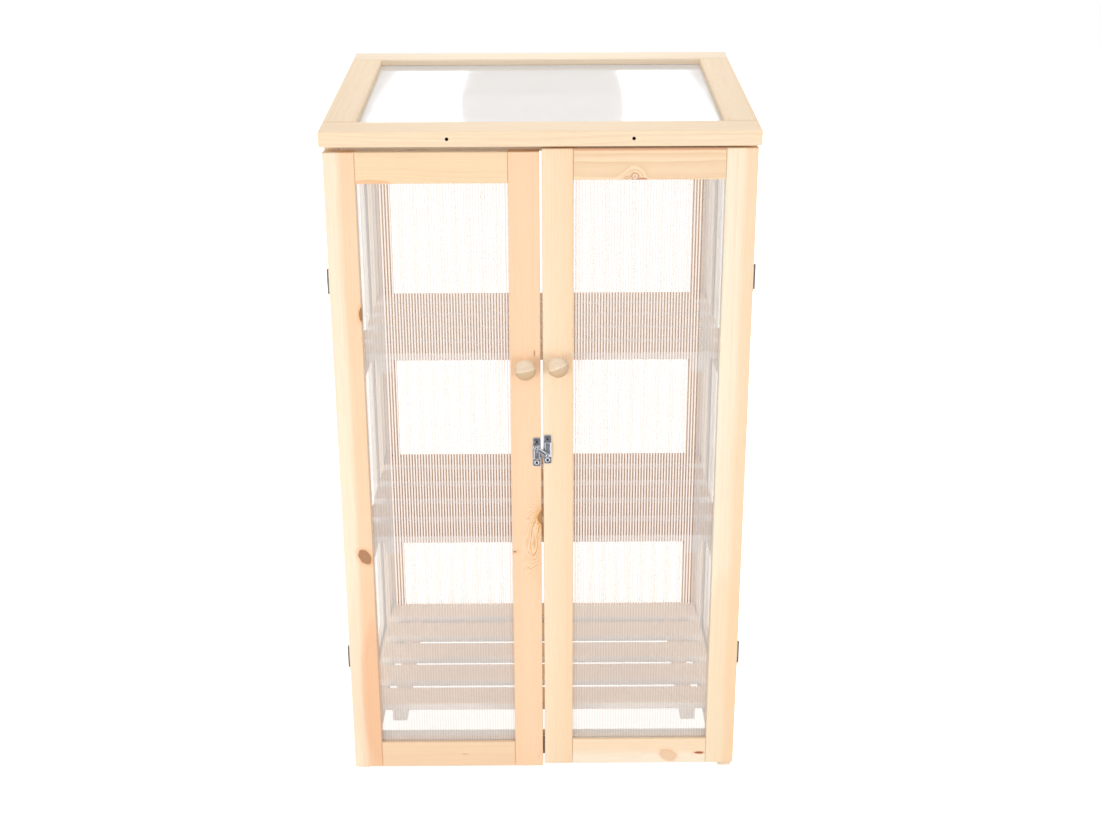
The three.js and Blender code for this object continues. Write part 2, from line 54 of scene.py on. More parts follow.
MM = 0.001
X = Vector((1, 0, 0))
Y = Vector((0, 1, 0))
Z = Vector((0, 0, 1))

# Camera, solved from the photograph's straight edges
PHOTO_WIDTH = 1100
PHOTO_FOCAL = 1435.6  # focal length in pixels of the photograph
SENSOR_WIDTH = 36
CAMERA_PLACE = Vector((0.0053, -2.1183, 1.2491))
CAMERA_PITCH = math.radians(19.02)
CAMERA_YAW = math.radians(0.18)
CAMERA_ROLL = math.radians(-0.23)


def add_camera():
    data = bpy.data.cameras.new("camera")
    data.sensor_width = SENSOR_WIDTH
    data.lens = PHOTO_FOCAL / PHOTO_WIDTH * SENSOR_WIDTH
    camera = bpy.data.objects.new("camera", data)
    level = Euler((math.pi / 2 - CAMERA_PITCH, 0, -CAMERA_YAW)).to_matrix()
    turn = level @ Matrix.Rotation(CAMERA_ROLL, 3, "Z")
    camera.matrix_world = Matrix.Translation(CAMERA_PLACE) @ turn.to_4x4()
    bpy.context.scene.collection.objects.link(camera)
    bpy.context.scene.camera = camera


WHITE = (1, 1, 1, 1)


def colour(text):
    """Linear RGBA of a colour written in sRGB, as the photograph shows it."""
    values = [int(text[i : i + 2], 16) / 255 for i in (0, 2, 4)]
    return (*[v / 12.92 if v <= 0.04045 else ((v + 0.055) / 1.055) ** 2.4 for v in values], 1)


class Tree:
    """A node tree, in which each call adds one node and gives its output."""

    def __init__(self, tree):
        self.tree = tree

    def add(self, kind, inputs=(), output=0, **settings):
        made = self.tree.nodes.new("ShaderNode" + kind)
        for name, value in settings.items():
            setattr(made, name, value)
        for socket, value in dict(inputs).items():
            self.set(made.inputs[socket], value)
        return made.outputs[output]

    def set(self, socket, value):
        if isinstance(value, bpy.types.NodeSocket):
            self.tree.links.new(value, socket)
        else:
            socket.default_value = value

    def math(self, operation, *values, clamp=False):
        return self.add("Math", enumerate(values), operation=operation, use_clamp=clamp)

    def sum(self, *values):
        total = values[0]
        for value in values[1:]:
            total = self.math("ADD", total, value)
        return total

    def times(self, *values):
        product = values[0]
        for value in values[1:]:
            product = self.math("MULTIPLY", product, value)
        return product

    def less(self, value, taken):
        return self.math("SUBTRACT", value, taken)

    def length(self, x, y):
        return self.math("POWER", self.sum(self.times(x, x), self.times(y, y)), 0.5)

    def step(self, value, low, high, start=0.0, end=1.0):
        places = {"Value": value, "From Min": low, "From Max": high, "To Min": start, "To Max": end}
        return self.add("MapRange", places, interpolation_type="SMOOTHSTEP")

    def noise(self, vector, scale=1, detail=2, roughness=0.5):
        places = {"Vector": vector, "Scale": scale, "Detail": detail, "Roughness": roughness}
        return self.add("TexNoise", places)

    def swing(self, vector, scale=1, detail=2):
        """Noise about zero."""
        return self.less(self.noise(vector, scale, detail), 0.5)

    def mix(self, factor, a, b):
        """The colours' own sockets of the Mix node are 6 and 7, and their result is output 2."""
        return self.add("Mix", {0: factor, 6: a, 7: b}, 2, data_type="RGBA")

    def scaled(self, vector, *scale):
        return self.add("VectorMath", {0: vector, 1: scale}, operation="MULTIPLY")

    def dot(self, vector, direction):
        return self.add("VectorMath", {0: vector, 1: direction}, "Value", operation="DOT_PRODUCT")

    def combined(self, x, y, z):
        return self.add("CombineXYZ", {0: x, 1: y, 2: z})

    def ray(self, *kinds):
        """1 where the ray is of one of these kinds, otherwise 0."""
        path = self.tree.nodes.new("ShaderNodeLightPath").outputs
        found = path["Is " + kinds[0] + " Ray"]
        for kind in kinds[1:]:
            found = self.math("MAXIMUM", found, path["Is " + kind + " Ray"])
        return found

    def ramp(self, value, stops):
        """A smooth curve through the stops, each a place and a level."""
        made = self.tree.nodes.new("ShaderNodeValToRGB")
        self.set(made.inputs[0], value)
        made.color_ramp.interpolation = "EASE"
        elements = made.color_ramp.elements
        for i, (place, level) in enumerate(stops):
            element = elements[i] if i < 2 else elements.new(place)
            element.position = place
            element.color = (level, level, level, 1)
        return made.outputs[0]


def new_material(name):
    """A material with an empty Principled shader, its tree, and the shader's inputs."""
    material = bpy.data.materials.new(name)
    material.use_nodes = True
    shader = next(n for n in material.node_tree.nodes if n.type == "BSDF_PRINCIPLED")
    return material, Tree(material.node_tree), shader.inputs


def dress(node, material):
    slots = cad[node].data.materials
    slots.clear()
    slots.append(material)


def new_object(name, bm, *materials):
    """An object made of a bmesh, which is used up."""
    mesh = bpy.data.meshes.new(name)
    bm.to_mesh(mesh)
    bm.free()
    for material in materials:
        mesh.materials.append(material)
    made = bpy.data.objects.new(name, mesh)
    bpy.context.scene.collection.objects.link(made)
    return made


SHARP_ANGLE = math.radians(40)  # edges that turn more than this stay crisp


def add_piece(name, bm, materials, body, slot, *nodes):
    """A piece of the scene's own that rides on a body and stands for CAD nodes, which it hides. The slot is
    not used.
    """
    piece = new_object(name, bm, *materials)
    piece.data.shade_smooth()
    piece.data.set_sharp_from_angle(angle=SHARP_ANGLE)
    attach(piece, body)
    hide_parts(*nodes)


# Softwood
WOOD = dict(
    light=colour("fdeed3"),
    dark=colour("f8cfa2"),
    line=colour("dca873"),
    bands=((0.0, 0.35), (1.0, 0.35)),  # share across the board, share of the darker colour
    ring=3.4 * MM,
    rings=0.35,  # strength of the growth rings' lines
    pith=None,  # across and through, from the board's middle
    sway=1.0,
    drift=0.35,  # how far the bands wander, as a share of the board's width
    fibres=0.16,
    # painted light: how far the faces across the board are drawn towards white
    paler_edges=0.0,
    pilots=(),  # along the board, of the holes drilled into its narrow edge
    knots=(),
)
KNOT = dict(
    turn=0.0,
    push=9 * MM,
    swirl=0.0,  # how much stronger the rings' lines are round the knot
    depth=0.8,
    core=colour("b98358"),
    rim=colour("8f5a36"),
    halo=colour("f2b983"),
    reach=2.4,  # of the halo, in the knot's own radii
    turns=16,
)
PILOT_SPACING = 247 * MM
PILOT_RADIUS = 2.3 * MM
PILOT_EDGE = 0.2 * MM
PITH_ACROSS = (-0.03, 0.03)  # from the board's middle, where a board doesn't say
PITH_THROUGH = (0.02, 0.06)
OFFSET_SHARES = (0.37, 0.11, 0.53)  # of a board's seed, which moves it to a part of the log of its own
SWAY_ACROSS = 0.022
SWAY_THROUGH = 0.012
RIPPLE_DEPTH = 0.0022
KNOT_FALL = -0.22  # how fast a knot's push fades, in its own radii squared
KNOT_WOBBLE = 0.5
KNOT_WOBBLE_SCALE = 1.3
LATE_RISE = (0.3, 0.9)  # where in a ring's width its late wood sets in
LATE_END = (0.9, 1.0)
YEAR_SCALE = 3.1
YEAR_STEP = (0.3, 0.7, 0.35, 1.0)  # each ring's own strength lies between the last two
# Turns of each noise in a metre: across the board, through it and along it
SWAY_SCALE = (9, 9, 2.2)
DRIFT_SCALE = (14, 14, 3.5)
CLOUD_SCALE = (30, 30, 6)
RIPPLE_SCALE = (60, 60, 14)
FLECK_SCALE = (420, 420, 28)
THREAD_SCALE = (420, 420, 3)
FIBRE_SCALE = (1500, 1500, 25)
# Levels between which a noise, or the share of a face that is turned away, takes effect
FLECK_STEP = (0.74, 0.8)
THREAD_STEP = (0.5, 0.8)
FIBRE_STEP = (0.35, 0.75)
TURNED_STEP = (0.6, 0.95)
CLOUD_DEPTH = 0.4
FLECK_DEPTH = 0.3
END_DEPTH = 0.35
PILOT_PAINTED_SHADE = colour("1c120a")
WOOD_ROUGHNESS = 0.52
FIBRE_ROUGHNESS = 0.16
LATE_ROUGHNESS = -0.06
WOOD_SPECULAR = 0.3
WOOD_BUMP = 0.35
WOOD_RELIEF = 0.12 * MM
RELIEF_SHARES = (0.6, 0.35, 0.5)  # of the fibres, the late wood and the ripple


def knot(across, along, half_width, half_length, **more):
    """A knot at a place from the board's middle, across its face and along its grain."""
    place = dict(place=(across * MM, along * MM), radii=(half_width * MM, half_length * MM))
    return {**KNOT, **place, **more}


def stain_and_shade(across, along, half_width, half_length, tint, depth, **more):
    """A soft patch of another colour, used for tones of the wood itself and for painted shade."""
    shade = colour(tint)
    look = dict(depth=depth, push=0.0, turns=0, core=shade, rim=shade, halo=shade)
    return knot(across, along, half_width, half_length, **{**look, **more})


def board_axes(node, along, face):
    """The board's middle, its size, and its axes: across its face, through it, and along it."""
    through = Vector(face).normalized()
    along = Vector(along).normalized()
    across = along.cross(through)
    axes = (across, through, along)
    corners = [v.co for v in cad[node].data.vertices]
    spans = [(min(c.dot(a) for c in corners), max(c.dot(a) for c in corners)) for a in axes]
    middle = sum(((low + high) / 2 * a for (low, high), a in zip(spans, axes)), Vector())
    return middle, [high - low for low, high in spans], axes


def knot_field(t, across, along, one, phase):
    """How far a point is from a knot's middle, in the knot's own radii, with a wavering edge."""
    cosine, sine = math.cos(one["turn"]), math.sin(one["turn"])
    dx = t.less(across, one["place"][0])
    dz = t.less(along, one["place"][1])
    x = t.math("DIVIDE", t.sum(t.times(dx, cosine), t.times(dz, sine)), one["radii"][0])
    z = t.math("DIVIDE", t.less(t.times(dz, cosine), t.times(dx, sine)), one["radii"][1])
    wobble = t.swing(t.combined(x, z, phase), KNOT_WOBBLE_SCALE)
    return t.sum(t.length(x, z), t.times(wobble, KNOT_WOBBLE))


def ring_lines(t, look, places, shifted, fields, seed):
    """The dark late wood of the growth rings, which bend round the knots, and the ripple in them."""
    across, through = places[:2]
    chance = random.Random(seed)
    pith = look["pith"] or (chance.uniform(*PITH_ACROSS), chance.uniform(*PITH_THROUGH))
    sway = t.times(t.swing(t.scaled(shifted, *SWAY_SCALE)), look["sway"])
    ripple = t.swing(t.scaled(shifted, *RIPPLE_SCALE), detail=3)
    off_x = t.sum(t.less(across, pith[0]), t.times(sway, SWAY_ACROSS))
    off_y = t.sum(through, pith[1], t.times(sway, SWAY_THROUGH))
    radius = t.sum(t.length(off_x, off_y), t.times(ripple, RIPPLE_DEPTH * look["sway"]))
    strength = look["rings"]
    for field, one in zip(fields, look["knots"]):
        fall = t.math("POWER", math.e, t.times(field, field, KNOT_FALL))
        radius = t.sum(radius, t.times(fall, one["push"]))
        strength = t.sum(strength, t.times(fall, one["swirl"]))
    count = t.math("DIVIDE", radius, look["ring"])
    phase = t.math("FRACT", count)
    late = t.times(t.step(phase, *LATE_RISE), t.step(phase, *LATE_END, 1.0, 0.0))
    year = t.noise(t.combined(t.math("FLOOR", count), seed, 0), YEAR_SCALE)
    late = t.times(late, t.step(year, *YEAR_STEP))
    return late, strength, ripple


# The parts of a knot: where their edges lie, in the knot's own radii, and how deep their colours are
HALO_START = 0.8
HEART_EDGE = (0.8, 1.05)
RIM_INNER_EDGE = (0.72, 0.98)
RIM_OUTER_EDGE = (0.98, 1.2)
HALO_DEPTH = 0.75
RIM_DEPTH = 0.7
TURN_DEPTH = 0.4
TURN_STEP = (-0.6, 0.9)


def paint_knot(t, tint, field, one):
    """A halo, a heart with fine turns, and a dark rim."""
    halo = t.step(field, HALO_START, one["reach"], HALO_DEPTH * one["depth"], 0.0)
    tint = t.mix(halo, tint, one["halo"])
    turns = t.step(t.math("SINE", t.times(field, one["turns"])), *TURN_STEP, 0.0, TURN_DEPTH)
    heart = t.mix(turns, one["core"], one["rim"])
    tint = t.mix(t.step(field, *HEART_EDGE, one["depth"], 0.0), tint, heart)
    outer = t.step(field, *RIM_OUTER_EDGE, one["depth"] * RIM_DEPTH, 0.0)
    return t.mix(t.times(t.step(field, *RIM_INNER_EDGE), outer), tint, one["rim"])


def timber(name, middle, size, axes, **look):
    """Softwood cut from one log: growth rings round a pith that runs along the board, fibres and knots."""
    look = {**WOOD, **look}
    seed = zlib.crc32(name.encode()) % 1000
    material, t, shader = new_material(name)
    here = t.add("VectorMath", {0: t.add("TexCoord", output="Object"), 1: middle}, operation="SUBTRACT")
    places = [t.dot(here, axis) for axis in axes]
    across, through, along = places
    offset = tuple(seed * share for share in OFFSET_SHARES)
    shifted = t.add("VectorMath", {0: t.combined(*places), 1: offset}, operation="ADD")
    fields = [knot_field(t, across, along, one, seed + i) for i, one in enumerate(look["knots"])]
    late, strength, ripple = ring_lines(t, look, places, shifted, fields, seed)

    # Broad bands of paler and darker wood, with the rings' lines over them
    drift = t.times(t.swing(t.scaled(shifted, *DRIFT_SCALE), detail=3), look["drift"])
    band = t.ramp(t.sum(t.math("DIVIDE", across, size[0]), 0.5, drift), look["bands"])
    cloud = t.swing(t.scaled(shifted, *CLOUD_SCALE), detail=4)
    band = t.math("ADD", band, t.times(cloud, CLOUD_DEPTH), clamp=True)
    tint = t.mix(band, look["light"], look["dark"])
    tint = t.mix(t.math("MULTIPLY", late, strength, clamp=True), tint, look["line"])

    # Fine straight lines, fibres and short resin flecks
    thread = t.noise(t.scaled(shifted, *THREAD_SCALE), detail=3, roughness=0.6)
    tint = t.mix(t.step(thread, *THREAD_STEP, 0.0, look["fibres"]), tint, look["line"])
    fibre = t.noise(t.scaled(shifted, *FIBRE_SCALE), detail=3, roughness=0.6)
    tint = t.mix(t.step(fibre, *FIBRE_STEP, 0.0, look["fibres"]), tint, look["line"])
    fleck = t.noise(t.scaled(shifted, *FLECK_SCALE))
    tint = t.mix(t.step(fleck, *FLECK_STEP, 0.0, FLECK_DEPTH), tint, look["line"])
    for field, one in zip(fields, look["knots"]):
        tint = paint_knot(t, tint, field, one)

    # Sawn ends are a little darker, and faces across the board can be painted paler: painted light on edges
    # that lie in shade
    normal = t.add("TexCoord", output="Normal")
    on_end = t.math("ABSOLUTE", t.dot(normal, axes[2]))
    tint = t.mix(t.step(on_end, *TURNED_STEP, 0.0, END_DEPTH), tint, look["line"])
    if look["paler_edges"]:
        on_edge = t.math("ABSOLUTE", t.dot(normal, axes[0]))
        tint = t.mix(t.step(on_edge, *TURNED_STEP, 0.0, look["paler_edges"]), tint, WHITE)
    # The pilot holes' walls are painted near-black: painted shade deep inside the holes.
    for place in look["pilots"]:
        from_axis = t.length(through, t.less(along, place))
        inside = t.step(from_axis, PILOT_RADIUS, PILOT_RADIUS + PILOT_EDGE, 1.0, 0.0)
        tint = t.mix(inside, tint, PILOT_PAINTED_SHADE)

    t.set(shader["Base Color"], tint)
    wear = (t.times(fibre, FIBRE_ROUGHNESS), t.times(late, LATE_ROUGHNESS))
    t.set(shader["Roughness"], t.sum(WOOD_ROUGHNESS, *wear))
    shader["Specular IOR Level"].default_value = WOOD_SPECULAR
    height = t.sum(*[t.times(level, share) for level, share in zip((fibre, late, ripple), RELIEF_SHARES)])
    relief = {"Strength": WOOD_BUMP, "Distance": WOOD_RELIEF, "Height": height}
    t.set(shader["Normal"], t.add("Bump", relief))
    return material


def board(node, along, face, light=None, dark=None, **look):
    """Gives a CAD board its own timber. light and dark are written as in colour()."""
    shades = {key: colour(text) for key, text in (("light", light), ("dark", dark)) if text}
    dress(node, timber("timber_" + node, *board_axes(node, along, face), **shades, **look))


# The boards of the doors, as the photograph shows them. Knots are placed in millimetres from the board's
# middle: across its face and along its grain, which run +X and +Z on a stile, and -Z and +X on a rail.
def left_door_boards():
    face = -Y
    edge_knot = knot(
        22.5, 248, 4.2, 9.5, swirl=0.5, depth=0.95, reach=2.2, turns=7,
        core=colour("b27c48"), rim=colour("7f4d2b"), halo=colour("f5b67c"),
    )
    round_knot = knot(
        9.5, -117, 8.0, 11.4, turn=math.radians(32), depth=0.95, reach=1.9, turns=3,
        core=colour("bf8e69"), rim=colour("8e5e3c"), halo=colour("f2b585"),
    )
    foot = stain_and_shade(15, -345, 19, 115, "f0b284", 0.34)
    board(
        "left_door_hinge_stile", Z, face, "fff1d7", "fcd6b0",
        bands=((0.0, 0.0), (0.36, 0.05), (0.6, 0.85), (1.0, 0.85)), rings=0.08, drift=0.16,
        knots=(edge_knot, round_knot, foot),
    )
    half_knot = knot(
        21.5, -56, 5.5, 10, swirl=1.6, push=16 * MM, reach=2.4, turns=11,
        core=colour("b98048"), rim=colour("8a5a2c"), halo=colour("efb169"),
    )
    bend_below = knot(14, -99, 7, 24, swirl=1.3, push=22 * MM, depth=0.0)
    streak = knot(-18.3, -110, 2.4, 1.2, depth=0.75, core=colour("8d6a50"), rim=colour("6f4f3a"), reach=5)
    fleck = knot(12.6, 192, 0.9, 4, depth=0.7, core=colour("a98360"), rim=colour("8a6645"), push=1 * MM)
    board(
        "left_door_meeting_stile", Z, face, "fee2c0", "fbd0a8", line=colour("d8923f"),
        bands=((0.0, 0.6), (0.5, 0.45), (1.0, 0.55)), rings=0.04, ring=2.0 * MM, sway=0.4, drift=0.2,
        fibres=0.1, pith=(0.05, 0.03), knots=(half_knot, bend_below, streak, fleck),
    )
    sliver = knot(21, -82, 5, 26, depth=0.5, core=colour("f6c596"), rim=colour("eeb27e"), turns=2, reach=1.3)
    # Its top and bottom faces are painted paler: painted light on the top face, which lies in the lid's
    # shade.
    board(
        "left_door_top_rail", X, face, "fde4c0", "f9d8ac",
        bands=((0.0, 0.35), (1.0, 0.4)), rings=0.12, paler_edges=0.6, knots=(sliver,),
    )
    faint = knot(-0.2, 25, 0.9, 4.6, depth=0.5, core=colour("cda676"), rim=colour("bb9263"), push=1 * MM)
    board(
        "left_door_bottom_rail", X, face, "fbdfbf", "f5cfaa",
        bands=((0.0, 0.4), (1.0, 0.4)), rings=0.14, ring=5 * MM, knots=(faint,),
    )


def right_door_boards():
    face = -Y
    board(
        "right_door_meeting_stile", Z, face, "ffeacb", "fbd9b2",
        bands=((0.0, 0.1), (0.5, 0.4), (1.0, 0.75)), rings=0.07, ring=2.4 * MM, sway=0.3, drift=0.2,
        pith=(-0.04, 0.04),
    )
    board(
        "right_door_hinge_stile", Z, face, "fff4dc", "feddb9",
        bands=((0.0, 0.05), (0.45, 0.2), (0.75, 0.85), (1.0, 0.85)), rings=0.08, drift=0.2,
        knots=(stain_and_shade(0, -330, 34, 170, "f4cf9e", 0.22),),
    )
    eye = knot(
        16.5, -20, 4.4, 4.8, push=12 * MM, swirl=0.5, turns=8, depth=0.85, reach=1.7,
        core=colour("f6e2cb"), rim=colour("a8583a"), halo=colour("efb587"),
    )
    second_eye = knot(
        18.5, -28, 2.4, 5.4, push=4 * MM, turns=7, depth=0.75, reach=1.6,
        core=colour("f2d8ba"), rim=colour("ae6343"), halo=colour("f0bd8e"),
    )
    wing = stain_and_shade(20, -10, 1.6, 6, "c98259", 0.7, reach=1.6)
    # A painted shadow of the lid along the rail's top edge. The bands darken towards the top as the same
    # painted shadow, and the top and bottom faces are painted paler as painted light.
    painted_lid_shadow = stain_and_shade(-20.5, 0, 2.0, 200, "e0a680", 0.75, reach=1.8)
    board(
        "right_door_top_rail", X, face, "ffe8c8", "f7d7b0", line=colour("d99f68"),
        bands=((0.0, 0.6), (0.3, 0.35), (1.0, 0.4)), rings=0.36, ring=4.2 * MM, paler_edges=0.6,
        knots=(eye, second_eye, wing, painted_lid_shadow),
    )
    soft_knot = knot(
        7, 45, 9, 13, depth=0.5, turns=1, reach=1.7, turn=math.radians(-20),
        core=colour("edc29a"), rim=colour("e2ad82"), halo=colour("f4caa0"),
    )
    slit = knot(
        3.5, 92, 1.9, 6.5, depth=0.95, push=3 * MM, reach=2.2,
        core=colour("a65a33"), rim=colour("8c4a2a"), halo=colour("eeb688"),
    )
    board(
        "right_door_bottom_rail", X, face, "fff4e0", "fde0bc",
        bands=((0.0, 0.8), (0.45, 0.7), (0.7, 0.15), (1.0, 0.15)), rings=0.08, ring=5 * MM,
        knots=(soft_knot, slit),
    )


def carcass_boards():
    for side, outward in (("left", -X), ("right", X)):
        for post in ("_front_post", "_rear_post"):
            board(side + post, Z, outward, "fff3e2", "fce3c8")
        board(side + "_bottom_rail", Y, outward)
        board(side + "_top_rail", Y, outward)
    for stile in ("left", "right"):
        board("back_" + stile + "_stile", Z, Y)
    board("back_bottom_rail", X, Y)
    # These three rails get near-white tones, and the front top rail paler top and bottom faces: painted light
    # that lifts the shade they sit in under the lid and behind the doors.
    board("back_top_rail", X, Y, "fff7ec", "ffeeda", rings=0.1)
    board("front_bottom_rail", X, -Y, "fffbf4", "fff4e4", rings=0.1)
    board("front_top_rail", X, -Y, "fffbf4", "fff1df", rings=0.1, paler_edges=0.6)


def shelf_boards():
    # The three shelves are one wood, given tones of their own as painted light and shade: the lower paler,
    # the middle darker, for how much light reaches each inside the cabinet. Their front and rear edges are
    # painted paler as painted light.
    shades = dict(lower=("ffe1b9", "fbcc9c"), middle=("d6ad85", "c5976c"), upper=("eaccab", "dfb991"))
    for level in ("lower", "middle", "upper"):
        board(
            level + "_shelf", X, Z, *shades[level],
            bands=((0.0, 0.4), (1.0, 0.4)), rings=0.12, paler_edges=0.6,
        )
        for side, inward in (("left", X), ("right", -X)):
            board(side + "_" + level + "_cleat", Y, inward, "f8ead8", "f0dcc4", rings=0.12)


def lid_slope():
    corners = [v.co for v in cad["lid_left_rail"].data.vertices]
    rear = max(corners, key=lambda c: c.z)
    front = min(corners, key=lambda c: c.y)
    return Vector((0, rear.y - front.y, rear.z - front.z)).normalized()


def lid_boards():
    up_slope = lid_slope()
    face = X.cross(up_slope)
    pale = dict(light="fde9cc", dark="f8ddb8", rings=0.15, ring=4 * MM)
    pilots = (-PILOT_SPACING / 2, PILOT_SPACING / 2)
    board("lid_front_rail", X, face, **pale, pilots=pilots)
    board("lid_rear_rail", X, face, **{**pale, "light": "fff1da", "dark": "ffe6c6"})
    board("lid_left_rail", up_slope, face, **pale)
    board("lid_right_rail", up_slope, face, **pale)


# Plastic sheets
FLUTE_PITCH = 4 * MM
RIB_WIDTH = 2.1 * MM  # the milky stripe over each web
RIB_CROWN = 0.15 * MM  # how far the stripe stands proud of the clear one
RIB_SHARES = ((0, 0), (0.25, 1), (0.75, 1), (1, 0))  # of the stripe's width and of its crown
HAZY_BELOW = 287 * MM  # height under which a door sheet is evenly hazy, as it is near its hinges
HAZY_EDGE = 38 * MM
PLASTIC_CLOUD_SCALE = (14, 14, 5)
PLASTIC_CLOUD_DEPTH = 0.25
PLASTIC_WEAR_SCALE = 40
PLASTIC_WEAR = 0.1


def plastic(name, tint, alpha, roughness, transmission=0.0, ior=1.5):
    material, t, shader = new_material(name)
    place = t.add("TexCoord", output="Object")
    cloud = t.noise(t.scaled(place, *PLASTIC_CLOUD_SCALE), detail=3)
    t.set(shader["Base Color"], t.mix(t.times(cloud, PLASTIC_CLOUD_DEPTH), colour(tint), WHITE))
    wear = t.times(t.noise(place, PLASTIC_WEAR_SCALE, detail=3), PLASTIC_WEAR)
    t.set(shader["Roughness"], t.sum(roughness, wear))
    shader["Alpha"].default_value = alpha
    shader["IOR"].default_value = ior
    shader["Transmission Weight"].default_value = transmission
    return material


def fluted_sheet(node, across, outward, body, windows, ribs):
    """A twin-wall sheet that stands for a CAD node: two skins, clear but for milky stripes.

    With two windows and two ribs, the first of each is for the hazy parts near the foot and the side
    of the hinges. Only such a sheet has webs between its skins, because the others are seen through it,
    and Cycles shows too many clear layers behind each other as black."""
    webbed = len(ribs) > 1
    corners = [v.co for v in cad[node].data.vertices]
    start = min(c.dot(across) for c in corners)
    end = max(c.dot(across) for c in corners)
    inner = min(c.dot(outward) for c in corners)
    outer = max(c.dot(outward) for c in corners)
    foot = min(c.z for c in corners)

    def height_near(edge):
        return max(c.z for c in corners if abs(c.dot(across) - edge) < RIB_WIDTH / 2)

    first_top, last_top = height_near(start), height_near(end)
    bm = bmesh.new()

    def line(place, depth):
        base = across * place + outward * depth
        top = first_top + (last_top - first_top) * (place - start) / (end - start)
        heights = [foot, HAZY_BELOW, top] if webbed else [foot, top]
        return [bm.verts.new(base + Z * height) for height in heights]

    def strip(first, second, ribbed, hazy):
        """Faces between two lines. Only what may be hazy takes the look of its place and height."""
        near_hinges = abs(first[0].co.dot(across)) > max(abs(start), abs(end)) - HAZY_EDGE
        for k in range(len(first) - 1):
            face = bm.faces.new((first[k], second[k], second[k + 1], first[k + 1]))
            kind = (0 if near_hinges else k) if hazy else len(windows) - 1
            face.material_index = kind + len(windows) * ribbed

    count = int((end - start) / FLUTE_PITCH)
    begin = (start + end - count * FLUTE_PITCH) / 2
    for skin_depth, sign in ((outer - RIB_CROWN, 1), (inner + RIB_CROWN, -1)):
        is_outer = sign > 0
        last = line(start, skin_depth)
        for i in range(count):
            left = begin + i * FLUTE_PITCH + (FLUTE_PITCH - RIB_WIDTH) / 2
            for k, (share, crown_share) in enumerate(RIB_SHARES):
                here = line(left + share * RIB_WIDTH, skin_depth + sign * crown_share * RIB_CROWN)
                strip(last, here, is_outer and k > 0, is_outer)
                last = here
        strip(last, line(end, skin_depth), False, is_outer)
    for i in range(count if webbed else 0):
        middle = begin + (i + 0.5) * FLUTE_PITCH
        strip(line(middle, inner + RIB_CROWN), line(middle, outer - RIB_CROWN), False, False)
    add_piece(node + "_flutes", bm, [*windows, *ribs], body, "fluted_sheet", node)


def sheets():
    window = plastic("fluted_window", "f6f1ec", alpha=0.07, roughness=0.12)
    haze = plastic("fluted_haze", "ffffff", alpha=0.34, roughness=0.3)
    rib = plastic("fluted_rib", "fff1e9", alpha=0.95, roughness=0.4)
    hazy_rib = plastic("fluted_hazy_rib", "ffffff", alpha=0.42, roughness=0.4)
    side_rib = plastic("fluted_side_rib", "fffdfb", alpha=0.6, roughness=0.45, transmission=0.45)
    back_window = plastic("fluted_back_window", "ffffff", alpha=0.07, roughness=0.12)
    back_rib = plastic("fluted_back_rib", "ffffff", alpha=0.4, roughness=0.45)
    for side, sign in (("left", -1), ("right", 1)):
        fluted_sheet(side + "_door_sheet", X, -Y, side + "_door", [haze, window], [hazy_rib, rib])
        fluted_sheet(side + "_side_sheet", Y, X * sign, "carcass", [window], [side_rib])
    fluted_sheet("back_sheet", X, Y, "carcass", [back_window], [back_rib])
    dress("lid_sheet", plastic("clear_sheet", "f7f5f3", alpha=0.78, roughness=0.02, ior=2.0))


# Shapes of the fittings, each in its own axes: X across, Y up, Z towards the viewer
TURN_SEGMENTS = 32
SOFT_STEPS = 3
CORNER_STEPS = 5
MITRE_LIMIT = 0.4  # keeps the point of a sharp corner from moving too far


def fitting_axes(origin, across, up):
    """The matrix from a fitting's own axes to the row frame."""
    turn = Matrix((across, up, across.cross(up))).transposed()
    return Matrix.Translation(origin) @ turn.to_4x4()


def box_middle(low, high, depth):
    """The middle of a box as seen from the front, at this depth."""
    return Vector(((low.x + high.x) / 2, depth, (low.z + high.z) / 2))


def arc(x, y, radius, start, end, steps=CORNER_STEPS):
    angles = [math.radians(start + (end - start) * i / steps) for i in range(steps + 1)]
    return [(x + radius * math.cos(a), y + radius * math.sin(a)) for a in angles]


def rounded_rectangle(width, height, corner, x=0.0, y=0.0):
    right, top = width / 2 - corner, height / 2 - corner
    return [
        *arc(x + right, y + top, corner, 0, 90),
        *arc(x - right, y + top, corner, 90, 180),
        *arc(x - right, y - top, corner, 180, 270),
        *arc(x + right, y - top, corner, 270, 360),
    ]


def drawn_in(points, amount):
    """The corners of an outline, moved in square to its edges."""
    moved = []
    for before, here, after in zip(points[-1:] + points[:-1], points, points[1:] + points[:1]):
        first = (Vector(here) - Vector(before)).normalized()
        second = (Vector(after) - Vector(here)).normalized()
        inward = Vector((-first.y - second.y, first.x + second.x))
        moved.append(Vector(here) + inward * amount / max(1 + first.dot(second), MITRE_LIMIT))
    return moved


def skin(bm, loops, kinds):
    """Faces between neighbouring loops, and over the first and the last."""
    for low, high, kind in zip(loops, loops[1:], kinds):
        for i in range(len(low)):
            k = (i + 1) % len(low)
            bm.faces.new((low[i], low[k], high[k], high[i])).material_index = kind
    bm.faces.new(loops[0][::-1]).material_index = kinds[0]
    bm.faces.new(loops[-1]).material_index = kinds[-1]


